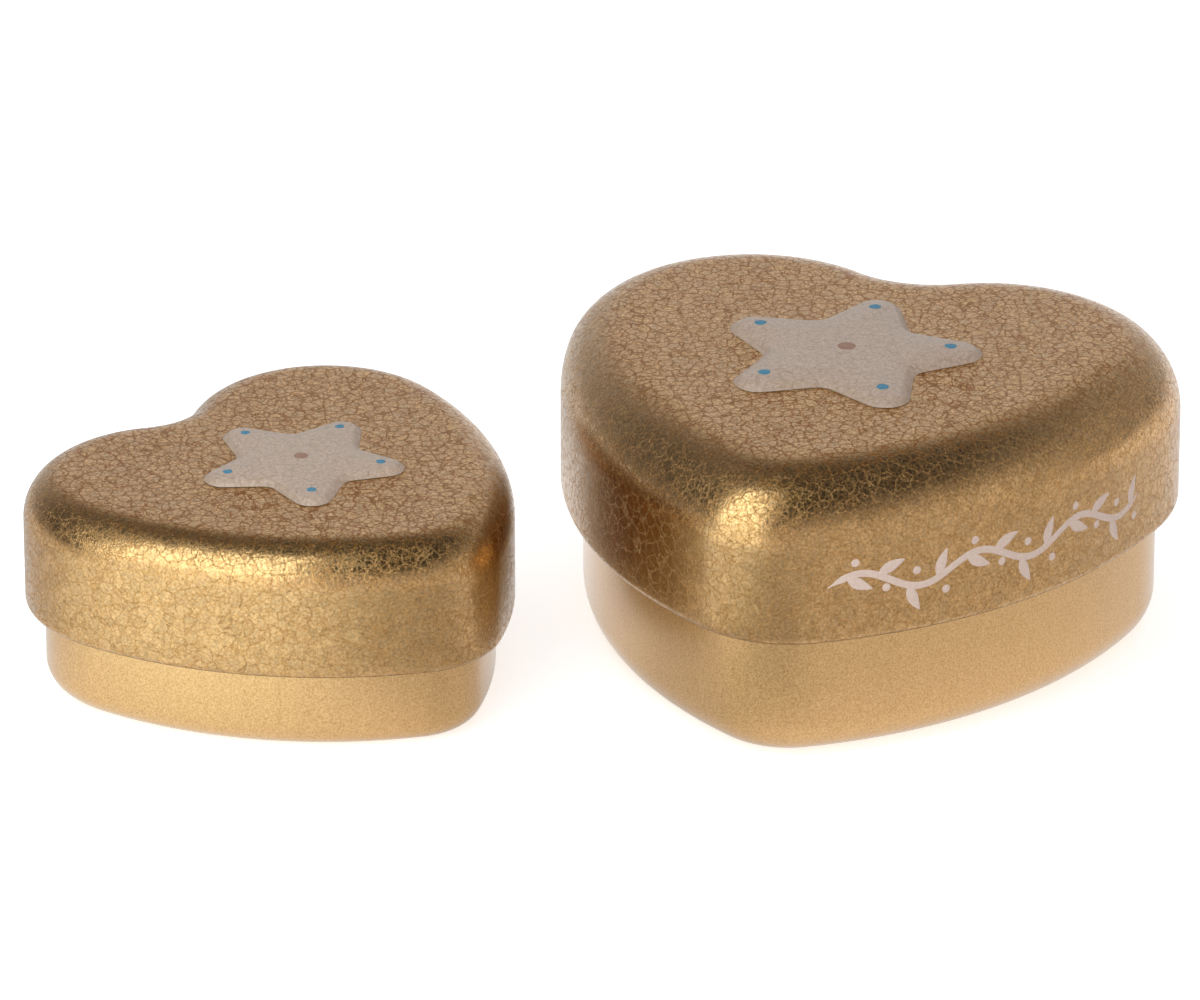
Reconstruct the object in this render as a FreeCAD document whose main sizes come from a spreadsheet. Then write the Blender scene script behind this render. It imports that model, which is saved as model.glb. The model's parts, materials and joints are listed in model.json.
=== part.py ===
import FreeCAD, Part
import Sketcher
import math
import os

# Two heart-shaped keepsake tins for milk teeth, a large one and a small one that nests inside it.
# Each tin is two pieces drawn from tinplate: a base whose rim is curled inwards, and a slip lid with
# a broad rounded edge, an inward curl at its hem and an embossed star on its top.
# The heart is seven arcs that run into each other: a tip arc cut in two on the heart's axis, two
# long sides, two round lobes and the hollow between them. Its plan origin lies midway between the
# centres of the lobes, and its tip points along -Y before the tin is turned to its place.

# Driving dimensions in millimetres, with angles in degrees.
SHARED_SIZES = {
    "sheet_thickness": 0.3,
    "hem_clearance": 0.35,
    "seat_clearance": 0.3,
    "star_points": 5,
}
TIN_SIZES = {
    "large": {
        "lobe_offset": 13.0,
        "lobe_radius": 20.0,
        "tip_drop": 30.5,
        "tip_radius": 12.4,
        "side_radius": 55.2,
        "notch_radius": 7.3,
        "base_height": 29.75,
        "base_edge_radius": 4.3,
        "rim_diameter": 1.6,
        "lid_depth": 18.3,
        "lid_edge_radius": 7.9,
        "hem_diameter": 2.0,
        "star_drop": 9.5,
        "star_reach": 17.5,
        "star_waist": 8.4,
        "star_tip_radius": 2.5,
        "star_corner_radius": 2.0,
        "star_height": 1.1,
        "star_edge_radius": 0.9,
        "place_x": 28.0,
        "place_y": 8.85,
        "turn": -17.2,
    },
    "small": {
        "lobe_offset": 11.2,
        "lobe_radius": 15.0,
        "tip_drop": 24.3,
        "tip_radius": 9.9,
        "side_radius": 43.8,
        "notch_radius": 6.1,
        "base_height": 22.15,
        "base_edge_radius": 2.7,
        "rim_diameter": 1.5,
        "lid_depth": 14.4,
        "lid_edge_radius": 4.8,
        "hem_diameter": 1.7,
        "star_drop": 8.4,
        "star_reach": 13.6,
        "star_waist": 6.5,
        "star_tip_radius": 2.0,
        "star_corner_radius": 1.6,
        "star_height": 0.9,
        "star_edge_radius": 0.7,
        "place_x": -37.5,
        "place_y": -1.6,
        "turn": 45.0,
    },
}

doc = FreeCAD.newDocument("heart_tins")
sheet = doc.addObject("Spreadsheet::Sheet", "Sizes")
driving = dict(SHARED_SIZES)
for tin, sizes in TIN_SIZES.items():
    for name, value in sizes.items():
        driving[f"{tin}_{name}"] = value
for row, (name, value) in enumerate(driving.items(), start=1):
    sheet.set(f"A{row}", name.replace("_", " "))
    sheet.set(f"B{row}", str(value))
    sheet.setAlias(f"B{row}", name)
doc.recompute()

SHEET = "Sizes.sheet_thickness"


def cell(tin, name):
    """The expression that reads one of a tin's sizes."""
    return f"Sizes.{tin}_{name}"


def value_of(expression):
    """The number that an expression on the sheet gives now."""
    return float(sheet.evalExpression(expression))


def base_inset(tin):
    """How far the base's wall stands inside the lid's: the lid's curled hem and its running clearance."""
    return f"({cell(tin, 'hem_diameter')} + Sizes.hem_clearance)"


def seated_lid_height(tin):
    """Height of the closed tin's flat top, where the base's curled rim meets the lid's rounded edge.

    Rim and lid edge are circles in section. The rim's centre lies across from the edge's centre by
    what the two radii and the wall's inset leave, and up by the rest of the distance that keeps the
    seat clearance between them. A rim further in than the edge's centre meets the flat top instead.
    """
    edge = cell(tin, "lid_edge_radius")
    rim = f"{cell(tin, 'rim_diameter')} / 2"
    apart = f"({edge} - {SHEET} - Sizes.seat_clearance - {rim})"
    across = f"max(0; {edge} - {base_inset(tin)} - {rim})"
    rise = f"sqrt({apart}^2 - ({across})^2)"
    return f"({cell(tin, 'base_height')} - {rim} - {rise} + {edge})"


def star_inset_share(tin):
    """What is left of the star, as a share of it, when its edges move inwards by one sheet."""
    reach, waist = cell(tin, "star_reach"), cell(tin, "star_waist")
    half_turn = "(180 / Sizes.star_points)"
    edge_length = f"sqrt(({reach} - {waist} * cos({half_turn}))^2 + ({waist} * sin({half_turn}))^2)"
    return f"(1 - {SHEET} * {edge_length} / ({reach} * {waist} * sin({half_turn})))"


def new_body(label):
    """An empty body whose label names its file."""
    body = doc.addObject("PartDesign::Body", label)
    body.Label = label
    return body


def new_sketch(body, name, plane, offset=None):
    """A sketch on one of the body's own planes, moved by the expressions in offset."""
    sketch = body.newObject("Sketcher::SketchObject", name)
    origin_plane = next(item for item in body.Origin.OriginFeatures if item.Role == plane)
    sketch.AttachmentSupport = [(origin_plane, "")]
    sketch.MapMode = "FlatFace"
    for axis, expression in (offset or {}).items():
        sketch.setExpression(f"AttachmentOffset.Base.{axis}", expression)
    return sketch


def bind(sketch, name, expression, *constraint):
    """Add a dimension with its present value, name it and tie it to the sheet."""
    number = sketch.addConstraint(Sketcher.Constraint(*constraint, value_of(expression)))
    sketch.renameConstraint(number, name)
    sketch.setExpression(f"Constraints.{name}", expression)


def arc(sketch, centre, radius, start, end):
    """An arc that runs anticlockwise between two angles in radians."""
    circle = Part.Circle(centre, FreeCAD.Vector(0, 0, 1), radius)
    return sketch.addGeometry(Part.ArcOfCircle(circle, start, end), False)


def line(sketch, start, end):
    """A straight edge."""
    return sketch.addGeometry(Part.LineSegment(start, end), False)


def mirrored(point):
    """The same point on the other side of the heart's axis."""
    return FreeCAD.Vector(-point.x, point.y, 0)


def direction(start, end):
    """The angle of the way from one point to another, in radians."""
    return math.atan2(end.y - start.y, end.x - start.x)


def heart_sketch(body, name, tin, inset, height):
    """A heart that lies inset inside the lid's outline: every arc keeps its centre and meets the next."""
    radius_of = {
        "lobe_radius": f"{cell(tin, 'lobe_radius')} - {inset}",
        "tip_radius": f"{cell(tin, 'tip_radius')} - {inset}",
        "side_radius": f"{cell(tin, 'side_radius')} - {inset}",
        "notch_radius": f"{cell(tin, 'notch_radius')} + {inset}",
    }
    lobe_r, tip_r, side_r, notch_r = (value_of(expression) for expression in radius_of.values())
    lobe = FreeCAD.Vector(value_of(cell(tin, "lobe_offset")), 0, 0)
    tip = FreeCAD.Vector(0, -value_of(cell(tin, "tip_drop")), 0)
    notch = FreeCAD.Vector(0, math.sqrt((lobe_r + notch_r) ** 2 - lobe.x ** 2), 0)
    # The side's centre is as far from the lobe's and the tip's centres as their radii differ from its own.
    from_lobe, from_tip = side_r - lobe_r, side_r - tip_r
    between = tip - lobe
    along = (from_lobe ** 2 - from_tip ** 2 + between.Length ** 2) / (2 * between.Length)
    aside = math.sqrt(from_lobe ** 2 - along ** 2)
    unit = between * (1 / between.Length)
    side = lobe + unit * along + FreeCAD.Vector(unit.y, -unit.x, 0) * aside
    at_tip, at_lobe, at_notch = direction(side, tip), direction(side, lobe), direction(lobe, notch)

    sketch = new_sketch(body, name, "XY_Plane", {"z": height})
    turn = math.pi
    tip_right = arc(sketch, tip, tip_r, -turn / 2, at_tip)
    side_right = arc(sketch, side, side_r, at_tip, at_lobe)
    lobe_right = arc(sketch, lobe, lobe_r, at_lobe, at_notch)
    hollow = arc(sketch, notch, notch_r, 2 * turn - at_notch, turn + at_notch)
    lobe_left = arc(sketch, mirrored(lobe), lobe_r, turn - at_notch, turn - at_lobe)
    side_left = arc(sketch, mirrored(side), side_r, turn - at_lobe, turn - at_tip)
    tip_left = arc(sketch, tip, tip_r, turn - at_tip, 1.5 * turn)

    start, end, centre = 1, 2, 3
    x_axis, y_axis = -1, -2
    origin = (-1, 1)
    tangent_joins = (
        (tip_right, end, side_right, start),
        (side_right, end, lobe_right, start),
        (lobe_right, end, hollow, end),
        (hollow, start, lobe_left, start),
        (lobe_left, end, side_left, start),
        (side_left, end, tip_left, start),
    )
    for join in tangent_joins:
        sketch.addConstraint(Sketcher.Constraint("Tangent", *join))
    sketch.addConstraint([
        Sketcher.Constraint("Coincident", tip_left, end, tip_right, start),
        Sketcher.Constraint("Coincident", tip_left, centre, tip_right, centre),
        Sketcher.Constraint("PointOnObject", tip_right, start, y_axis),
        Sketcher.Constraint("PointOnObject", tip_right, centre, y_axis),
        Sketcher.Constraint("PointOnObject", lobe_right, centre, x_axis),
        Sketcher.Constraint("Symmetric", lobe_right, centre, lobe_left, centre, y_axis),
        Sketcher.Constraint("Equal", lobe_right, lobe_left),
        Sketcher.Constraint("Equal", side_right, side_left),
    ])
    bind(sketch, "lobe_offset", cell(tin, "lobe_offset"), "DistanceX", *origin, lobe_right, centre)
    bind(sketch, "tip_drop", cell(tin, "tip_drop"), "DistanceY", tip_right, centre, *origin)
    bind(sketch, "lobe_radius", radius_of["lobe_radius"], "Radius", lobe_right)
    bind(sketch, "tip_radius", radius_of["tip_radius"], "Radius", tip_right)
    bind(sketch, "side_radius", radius_of["side_radius"], "Radius", side_right)
    bind(sketch, "notch_radius", radius_of["notch_radius"], "Radius", hollow)
    return sketch


def curl_sketch(body, name, tin, inset, height, diameter, up):
    """Section of a sheet edge curled three quarters of a turn inwards, at the heart's tip.

    The curl starts level with its centre, where the wall ends, and goes up over it or down under it.
    """
    outer_radius = f"{diameter} / 2"
    inner_radius = f"{diameter} / 2 - {SHEET}"
    tip_distance = f"{cell(tin, 'tip_drop')} + {cell(tin, 'tip_radius')} - {inset} - {diameter} / 2"
    outer_r, inner_r = value_of(outer_radius), value_of(inner_radius)
    middle = FreeCAD.Vector(-value_of(tip_distance), value_of(height), 0)
    outwards, inwards = FreeCAD.Vector(-1, 0, 0), FreeCAD.Vector(0, -1 if up else 1, 0)

    sketch = new_sketch(body, name, "YZ_Plane")
    quarter = math.pi / 2
    first, last = (-quarter, 2 * quarter) if up else (2 * quarter, 5 * quarter)
    outer = arc(sketch, middle, outer_r, first, last)
    inner = arc(sketch, middle, inner_r, first, last)
    wall_end = line(sketch, middle + outwards * outer_r, middle + outwards * inner_r)
    free_end = line(sketch, middle + inwards * outer_r, middle + inwards * inner_r)

    start, end, centre = 1, 2, 3
    origin = (-1, 1)
    at_wall, at_edge = (end, start) if up else (start, end)
    sketch.addConstraint([
        Sketcher.Constraint("Coincident", outer, at_wall, wall_end, start),
        Sketcher.Constraint("Coincident", inner, at_wall, wall_end, end),
        Sketcher.Constraint("Coincident", outer, at_edge, free_end, start),
        Sketcher.Constraint("Coincident", inner, at_edge, free_end, end),
        Sketcher.Constraint("Coincident", outer, centre, inner, centre),
        Sketcher.Constraint("Horizontal", wall_end),
        Sketcher.Constraint("Horizontal", outer, centre, wall_end, start),
        Sketcher.Constraint("Vertical", free_end),
        Sketcher.Constraint("Vertical", outer, centre, free_end, start),
    ])
    bind(sketch, "outer_radius", outer_radius, "Radius", outer)
    bind(sketch, "inner_radius", inner_radius, "Radius", inner)
    bind(sketch, "tip_distance", tip_distance, "DistanceX", outer, centre, *origin)
    bind(sketch, "height", height, "DistanceY", *origin, outer, centre)
    return sketch


def arm_sketch(body, name, tin, share, height):
    """One arm of the star, a kite from the star's centre, at the given share of its size."""
    reach, waist = f"{cell(tin, 'star_reach')} * {share}", f"{cell(tin, 'star_waist')} * {share}"
    half_turn = "(180 / Sizes.star_points)"
    across, ahead = f"{waist} * sin({half_turn})", f"{waist} * cos({half_turn})"
    middle = FreeCAD.Vector(0, 0, 0)
    point = FreeCAD.Vector(0, value_of(reach), 0)
    right = FreeCAD.Vector(value_of(across), value_of(ahead), 0)

    sketch = new_sketch(body, name, "XY_Plane", {"y": f"-{cell(tin, 'star_drop')}", "z": height})
    corners = (middle, right, point, mirrored(right))
    edges = [line(sketch, corners[i], corners[(i + 1) % 4]) for i in range(4)]
    start, end = 1, 2
    origin, y_axis = (-1, 1), -2
    for before, after in zip(edges, edges[1:] + edges[:1]):
        sketch.addConstraint(Sketcher.Constraint("Coincident", before, end, after, start))
    sketch.addConstraint([
        Sketcher.Constraint("Coincident", edges[0], start, *origin),
        Sketcher.Constraint("PointOnObject", edges[1], end, y_axis),
        Sketcher.Constraint("Symmetric", edges[0], end, edges[2], end, y_axis),
    ])
    bind(sketch, "reach", reach, "DistanceY", *origin, edges[1], end)
    bind(sketch, "across", across, "DistanceX", *origin, edges[0], end)
    bind(sketch, "ahead", ahead, "DistanceY", *origin, edges[0], end)
    return sketch


def raised(body, name, profile, length):
    """A solid raised from a sketch."""
    pad = body.newObject("PartDesign::Pad", name)
    pad.Profile = profile
    pad.setExpression("Length", length)
    doc.recompute()
    return pad


def hollowed(body, name, profile, depth, up):
    """A hollow cut from a sketch, up or down."""
    pocket = body.newObject("PartDesign::Pocket", name)
    pocket.Profile = profile
    pocket.Reversed = up
    pocket.setExpression("Length", depth)
    doc.recompute()
    return pocket


def rounded(body, name, feature, elements, radius):
    """Edges, or all edges of a face, rounded to a radius."""
    fillet = body.newObject("PartDesign::Fillet", name)
    fillet.Base = (feature, elements)
    fillet.setExpression("Radius", radius)
    doc.recompute()
    return fillet


def swept(body, name, profile, path):
    """A section carried once round a heart."""
    pipe = body.newObject("PartDesign::AdditivePipe", name)
    pipe.Profile = profile
    pipe.Spine = (path, [f"Edge{number + 1}" for number in range(len(path.Shape.Edges))])
    doc.recompute()
    return pipe


def star_of(body, name, arm, profile):
    """One arm repeated round the star's centre."""
    pattern = body.newObject("PartDesign::PolarPattern", name)
    pattern.Originals = [arm]
    pattern.Axis = (profile, ["N_Axis"])
    pattern.Angle = 360
    pattern.setExpression("Occurrences", "Sizes.star_points")
    body.Tip = pattern
    doc.recompute()
    return pattern


def flat_face(feature, height, facing):
    """Name of the flat face at a height that faces up (+1) or down (-1)."""
    for number, face in enumerate(feature.Shape.Faces, start=1):
        level = abs(face.BoundBox.ZMax - height) + abs(face.BoundBox.ZMin - height)
        if level < 1e-4 and face.normalAt(0, 0).z * facing > 0.9:
            return [f"Face{number}"]
    raise ValueError(f"no flat face at {height} on {feature.Name}")


def upright_edges(feature, tin, radius, bottom):
    """Names of the upright edges that stand at a radius from the star's centre and start at a height."""
    middle_y = -value_of(cell(tin, "star_drop"))
    names = []
    for number, edge in enumerate(feature.Shape.Edges, start=1):
        box = edge.BoundBox
        thin = box.XLength + box.YLength < 1e-4
        from_middle = math.hypot(box.Center.x, box.Center.y - middle_y)
        if thin and abs(from_middle - radius) < 1e-3 and abs(box.ZMin - bottom) < 1e-3:
            names.append(f"Edge{number}")
    return names


def make_base(tin):
    """The tin's base: a drawn cup with a flat bottom, a rounded bottom edge and an inward curled rim."""
    body = new_body(f"{tin}_base")
    outer_inset = base_inset(tin)
    inner_inset = f"({outer_inset} + {SHEET})"
    wall_top = f"({cell(tin, 'base_height')} - {cell(tin, 'rim_diameter')} / 2)"
    bottom_radius = cell(tin, "base_edge_radius")

    outline = heart_sketch(body, f"{tin}_base_outline", tin, outer_inset, "0")
    cup = raised(body, f"{tin}_base_cup", outline, wall_top)
    hollow = heart_sketch(body, f"{tin}_base_hollow", tin, inner_inset, wall_top)
    cup = hollowed(body, f"{tin}_base_inside", hollow, f"{wall_top} - {SHEET}", up=False)
    floor = flat_face(cup, value_of(SHEET), 1)
    cup = rounded(body, f"{tin}_base_inner_edge", cup, floor, f"{bottom_radius} - {SHEET}")
    cup = rounded(body, f"{tin}_base_outer_edge", cup, flat_face(cup, 0, -1), bottom_radius)
    rim = curl_sketch(body, f"{tin}_rim_section", tin, outer_inset, wall_top, cell(tin, "rim_diameter"), up=True)
    swept(body, f"{tin}_rim", rim, outline)
    return body


def make_lid(tin):
    """The tin's lid: a drawn cap with a broad rounded edge, an inward curled hem and an embossed star."""
    body = new_body(f"{tin}_lid")
    depth, hem = cell(tin, "lid_depth"), cell(tin, "hem_diameter")
    wall_bottom = f"({hem} / 2)"
    edge_radius = cell(tin, "lid_edge_radius")
    under_top = f"({depth} - {SHEET})"

    outline = heart_sketch(body, f"{tin}_lid_outline", tin, "0", wall_bottom)
    cap = raised(body, f"{tin}_lid_cap", outline, f"{depth} - {wall_bottom}")
    hollow = heart_sketch(body, f"{tin}_lid_hollow", tin, SHEET, wall_bottom)
    cap = hollowed(body, f"{tin}_lid_inside", hollow, f"{under_top} - {wall_bottom}", up=True)
    ceiling = flat_face(cap, value_of(under_top), -1)
    cap = rounded(body, f"{tin}_lid_inner_edge", cap, ceiling, f"{edge_radius} - {SHEET}")
    cap = rounded(body, f"{tin}_lid_outer_edge", cap, flat_face(cap, value_of(depth), 1), edge_radius)
    section = curl_sketch(body, f"{tin}_hem_section", tin, "0", wall_bottom, hem, up=False)
    swept(body, f"{tin}_hem", section, outline)
    emboss_star(body, tin, depth, under_top)
    return body


def emboss_star(body, tin, top, under_top):
    """The star pressed up out of the lid's top, one sheet thick all over, with rounded arms and edges."""
    reach, waist = value_of(cell(tin, "star_reach")), value_of(cell(tin, "star_waist"))
    height, edge_radius = cell(tin, "star_height"), cell(tin, "star_edge_radius")
    tip_radius, corner_radius = cell(tin, "star_tip_radius"), cell(tin, "star_corner_radius")
    share = star_inset_share(tin)

    arm = arm_sketch(body, f"{tin}_star_arm", tin, "1", top)
    star = raised(body, f"{tin}_star_raised", arm, height)
    star = star_of(body, f"{tin}_star", star, arm)
    under_arm = arm_sketch(body, f"{tin}_star_under_arm", tin, share, under_top)
    star = hollowed(body, f"{tin}_star_under", under_arm, height, up=True)
    star = star_of(body, f"{tin}_star_hollow", star, under_arm)

    bottom, inner_bottom = value_of(top), value_of(under_top)
    inner_reach, inner_waist = reach * value_of(share), waist * value_of(share)
    inner_tips = upright_edges(star, tin, inner_reach, inner_bottom)
    star = rounded(body, f"{tin}_star_inner_tips", star, inner_tips, f"{tip_radius} - {SHEET}")
    inner_corners = upright_edges(star, tin, inner_waist, inner_bottom)
    star = rounded(body, f"{tin}_star_inner_corners", star, inner_corners, f"{corner_radius} + {SHEET}")
    ceiling = flat_face(star, value_of(f"{under_top} + {height}"), -1)
    star = rounded(body, f"{tin}_star_inner_edge", star, ceiling, f"{edge_radius} - {SHEET}")
    star = rounded(body, f"{tin}_star_tips", star, upright_edges(star, tin, reach, bottom), tip_radius)
    star = rounded(body, f"{tin}_star_corners", star, upright_edges(star, tin, waist, bottom), corner_radius)
    rounded(body, f"{tin}_star_edge", star, flat_face(star, value_of(f"{top} + {height}"), 1), edge_radius)


def place(body, tin, height):
    """Stand a piece at its tin's place, turned with it, at a height."""
    body.setExpression("Placement.Base.x", cell(tin, "place_x"))
    body.setExpression("Placement.Base.y", cell(tin, "place_y"))
    body.setExpression("Placement.Base.z", height)
    body.Placement.Rotation = FreeCAD.Rotation(FreeCAD.Vector(0, 0, 1), value_of(cell(tin, "turn")))
    body.setExpression("Placement.Rotation.Angle", cell(tin, "turn"))


pieces = []
for tin in TIN_SIZES:
    base = make_base(tin)
    place(base, tin, "0")
    lid = make_lid(tin)
    place(lid, tin, f"{seated_lid_height(tin)} - {cell(tin, 'lid_depth')}")
    pieces += [base, lid]
doc.recompute()

for item in doc.Objects:
    if "Invalid" in item.State or "Error" in item.State:
        raise RuntimeError(f"{item.Name} failed: {item.State}")
for piece in pieces:
    if piece.Shape.isNull() or not piece.Shape.isValid():
        raise RuntimeError(f"{piece.Label} has no valid shape")
    if len(piece.Shape.Solids) != 1:
        raise RuntimeError(f"{piece.Label} is not one solid")

os.makedirs("parts", exist_ok=True)
for piece in pieces:
    piece.Shape.exportStep(f"parts/{piece.Label}.step")
    box = piece.Shape.BoundBox
    print(f"{piece.Label}: volume {piece.Shape.Volume:.2f} mm3, x {box.XMin:.3f} {box.XMax:.3f}, "
          f"y {box.YMin:.3f} {box.YMax:.3f}, z {box.ZMin:.3f} {box.ZMax:.3f}")
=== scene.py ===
import json
import math
from functools import partial

import bpy
import numpy as np
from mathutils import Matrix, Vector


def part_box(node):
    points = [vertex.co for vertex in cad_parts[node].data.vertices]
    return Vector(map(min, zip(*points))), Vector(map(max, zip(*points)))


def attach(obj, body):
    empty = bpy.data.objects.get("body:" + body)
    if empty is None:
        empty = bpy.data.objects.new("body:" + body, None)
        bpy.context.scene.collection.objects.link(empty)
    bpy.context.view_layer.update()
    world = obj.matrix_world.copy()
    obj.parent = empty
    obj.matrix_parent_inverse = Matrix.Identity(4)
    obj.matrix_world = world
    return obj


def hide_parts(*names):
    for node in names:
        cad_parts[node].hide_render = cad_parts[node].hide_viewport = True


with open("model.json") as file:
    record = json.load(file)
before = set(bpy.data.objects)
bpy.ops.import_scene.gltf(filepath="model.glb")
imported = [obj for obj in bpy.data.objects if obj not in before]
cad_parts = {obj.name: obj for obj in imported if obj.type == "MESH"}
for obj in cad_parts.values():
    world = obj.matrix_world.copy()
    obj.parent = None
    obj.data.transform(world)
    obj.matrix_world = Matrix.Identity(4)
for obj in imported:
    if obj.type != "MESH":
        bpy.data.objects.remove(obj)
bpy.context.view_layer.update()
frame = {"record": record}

# Tin bases: a cup drawn from tinplate in one stroke, with a flat bottom, a rounded bottom edge and
# a rim curled inwards. Satin gold lacquer was rolled on the flat sheet before it was drawn.
# Sizes are in millimetres, and a tin's turn on the floor is in degrees.
SHEET = 0.3
HEM_CLEARANCE = 0.35
FLAT_RING_INSET = 4.0
RING_POINTS = 600
TINS = {
    "large": {
        "lobe_offset": 13.0, "lobe_radius": 20.0, "tip_drop": 30.5, "tip_radius": 12.4,
        "side_radius": 55.2, "notch_radius": 7.3,
        "base_height": 29.75, "base_edge": 4.3, "rim": 1.6,
        "lid_depth": 18.3, "lid_edge": 7.9, "hem": 2.0, "turn": -17.2,
    },
    "small": {
        "lobe_offset": 11.2, "lobe_radius": 15.0, "tip_drop": 24.3, "tip_radius": 9.9,
        "side_radius": 43.8, "notch_radius": 6.1,
        "base_height": 22.15, "base_edge": 2.7, "rim": 1.5,
        "lid_depth": 14.4, "lid_edge": 4.8, "hem": 1.7, "turn": 45.0,
    },
}


def heart(tin, samples):
    """Points along a tin's outline at even steps, and the way inwards at each, in millimetres.

    The outline is seven arcs that meet in tangents, anticlockwise from the tip: half the tip arc,
    the right side, the right lobe, the hollow, and the same back again on the left. A point of an
    arc is its centre plus its radius in the direction of the angle that its length along it gives.
    """
    lobe_r, tip_r = tin["lobe_radius"], tin["tip_radius"]
    side_r, notch_r = tin["side_radius"], tin["notch_radius"]
    lobe = np.array([tin["lobe_offset"], 0.0])
    tip = np.array([0.0, -tin["tip_drop"]])
    notch = np.array([0.0, math.sqrt((lobe_r + notch_r) ** 2 - lobe[0] ** 2)])
    between = tip - lobe
    across = np.array([between[1], -between[0]])
    span = np.hypot(*between)
    along = ((side_r - lobe_r) ** 2 - (side_r - tip_r) ** 2 + span ** 2) / (2 * span)
    aside = math.sqrt((side_r - lobe_r) ** 2 - along ** 2)
    side = lobe + between / span * along + across / span * aside
    lines = ((side, tip), (side, lobe), (lobe, notch))
    at_tip, at_lobe, at_notch = (math.atan2(*(b - a)[::-1]) for a, b in lines)
    flip = np.array([-1.0, 1.0])
    half = math.pi
    arcs = (
        (tip, tip_r, -half / 2, at_tip, -1),
        (side, side_r, at_tip, at_lobe, -1),
        (lobe, lobe_r, at_lobe, at_notch, -1),
        (notch, notch_r, half + at_notch, 2 * half - at_notch, 1),
        (lobe * flip, lobe_r, half - at_notch, half - at_lobe, -1),
        (side * flip, side_r, half - at_lobe, half - at_tip, -1),
        (tip, tip_r, half - at_tip, 1.5 * half, -1),
    )
    centre = np.array([arc[0] for arc in arcs])
    radius, start, end, inwards = np.array([arc[1:] for arc in arcs]).T
    length = np.abs(end - start) * radius
    ends = np.cumsum(length)
    travelled = np.arange(samples) / samples * ends[-1]
    which = np.searchsorted(ends, travelled, side="right")
    share = (travelled - (ends - length)[which]) / length[which]
    angle = start[which] + share * (end - start)[which]
    ray = np.stack([np.cos(angle), np.sin(angle)], axis=1)
    return centre[which] + radius[which, None] * ray, inwards[which, None] * ray


def arc_profile(inset, height, radius, start, end, count):
    """Points of an arc in a tin's section, as (inset, height), between two angles in degrees.

    Inset grows inwards from the lid's outline, so an angle of zero points outwards.
    """
    angle = np.radians(np.linspace(start, end, count))
    return np.stack([inset - radius * np.cos(angle), height + radius * np.sin(angle)], axis=1)


def wall_profile(inset, start, end, count):
    """Evenly spaced points of an upright wall in a tin's section, between two heights."""
    return np.stack([np.full(count, inset), np.linspace(start, end, count + 2)[1:-1]], axis=1)


def carried(outline, inwards, profile):
    """A section carried round an outline: each point moved inwards and up by the section."""
    flat = outline[None] + profile[:, None, :1] * inwards[None]
    up = np.broadcast_to(profile[:, None, 1:], flat.shape[:2] + (1,))
    return np.concatenate([flat, up], axis=2)


def placed(points, tin_name):
    """Millimetre points of a tin turned and moved to where the tin stands, in metres."""
    turn = math.radians(TINS[tin_name]["turn"])
    mount = next(m for m in frame["record"]["mounts"] if m["name"] == f"{tin_name}_bottom")
    x, y, z = np.moveaxis(np.asarray(points), -1, 0) / 1000
    return np.stack([
        x * math.cos(turn) - y * math.sin(turn) + mount["pos_m"][0],
        x * math.sin(turn) + y * math.cos(turn) + mount["pos_m"][1],
        z + mount["pos_m"][2],
    ], axis=-1)


def shell(rings, first, last):
    """Vertices, quads and triangles of a closed surface through rings of points.

    Neighbouring rings are joined by quads. A fan joins the first ring to the first pole point and
    the last ring to the last, so the surface has no open edge.
    """
    rows, columns = rings.shape[:2]
    vertices = np.concatenate([rings.reshape(-1, 3), [first], [last]])
    i = np.arange(rows - 1)[:, None] * columns
    j = np.arange(columns)
    k = (j + 1) % columns
    quads = np.stack([i + j, i + k, i + columns + k, i + columns + j], axis=-1)
    pole, end = rows * columns, (rows - 1) * columns
    first_fan = np.stack([np.full(columns, pole), k, j], axis=1)
    last_fan = np.stack([np.full(columns, pole + 1), end + j, end + k], axis=1)
    return vertices, quads.reshape(-1, 4), np.concatenate([first_fan, last_fan])


def smooth_piece(name, shells, tin_name, material):
    """One smooth-shaded object at the origin from the closed surfaces of a piece of a tin."""
    vertices, quads, fans = zip(*shells)
    starts = np.cumsum([0, *map(len, vertices)])
    quads, fans = (
        np.concatenate([faces + start for faces, start in zip(group, starts)]).tolist()
        for group in (quads, fans))
    mesh = bpy.data.meshes.new(name)
    mesh.from_pydata(placed(np.concatenate(vertices), tin_name).tolist(), [], quads + fans)
    mesh.polygons.foreach_set("use_smooth", np.ones(len(mesh.polygons), bool))
    mesh.update()
    mesh.materials.append(material)
    piece = bpy.data.objects.new(name, mesh)
    bpy.context.scene.collection.objects.link(piece)
    return piece


def linear(hex_colour):
    """Linear RGBA of an sRGB hex colour."""
    channels = np.array([int(hex_colour[i:i + 2], 16) for i in (1, 3, 5)]) / 255
    curved = ((channels + 0.055) / 1.055) ** 2.4
    return (*np.where(channels <= 0.04045, channels / 12.92, curved), 1.0)


def add(tree, kind, inputs=(), **settings):
    """Add a node with its settings and links.

    An input is a value, another node's output, or a node, which stands for its first output in use.
    """
    node = tree.nodes.new(kind)
    for key, value in settings.items():
        setattr(node, key, value)
    for key, value in dict(inputs).items():
        if isinstance(value, bpy.types.Node):
            value = next(output for output in value.outputs if output.enabled)
        if isinstance(value, bpy.types.NodeSocket):
            tree.links.new(value, node.inputs[key])
        else:
            node.inputs[key].default_value = value
    return node


def new_material(name):
    """An empty node material and its tree."""
    material = bpy.data.materials.new(name)
    material.use_nodes = True
    material.node_tree.nodes.clear()
    return material, material.node_tree


def millimetres(tree):
    """Object coordinates in millimetres, so that a texture's scale is one over its real size."""
    place = add(tree, "ShaderNodeTexCoord").outputs["Object"]
    return add(tree, "ShaderNodeVectorMath", {0: place, "Scale": 1000}, operation="SCALE")


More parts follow.
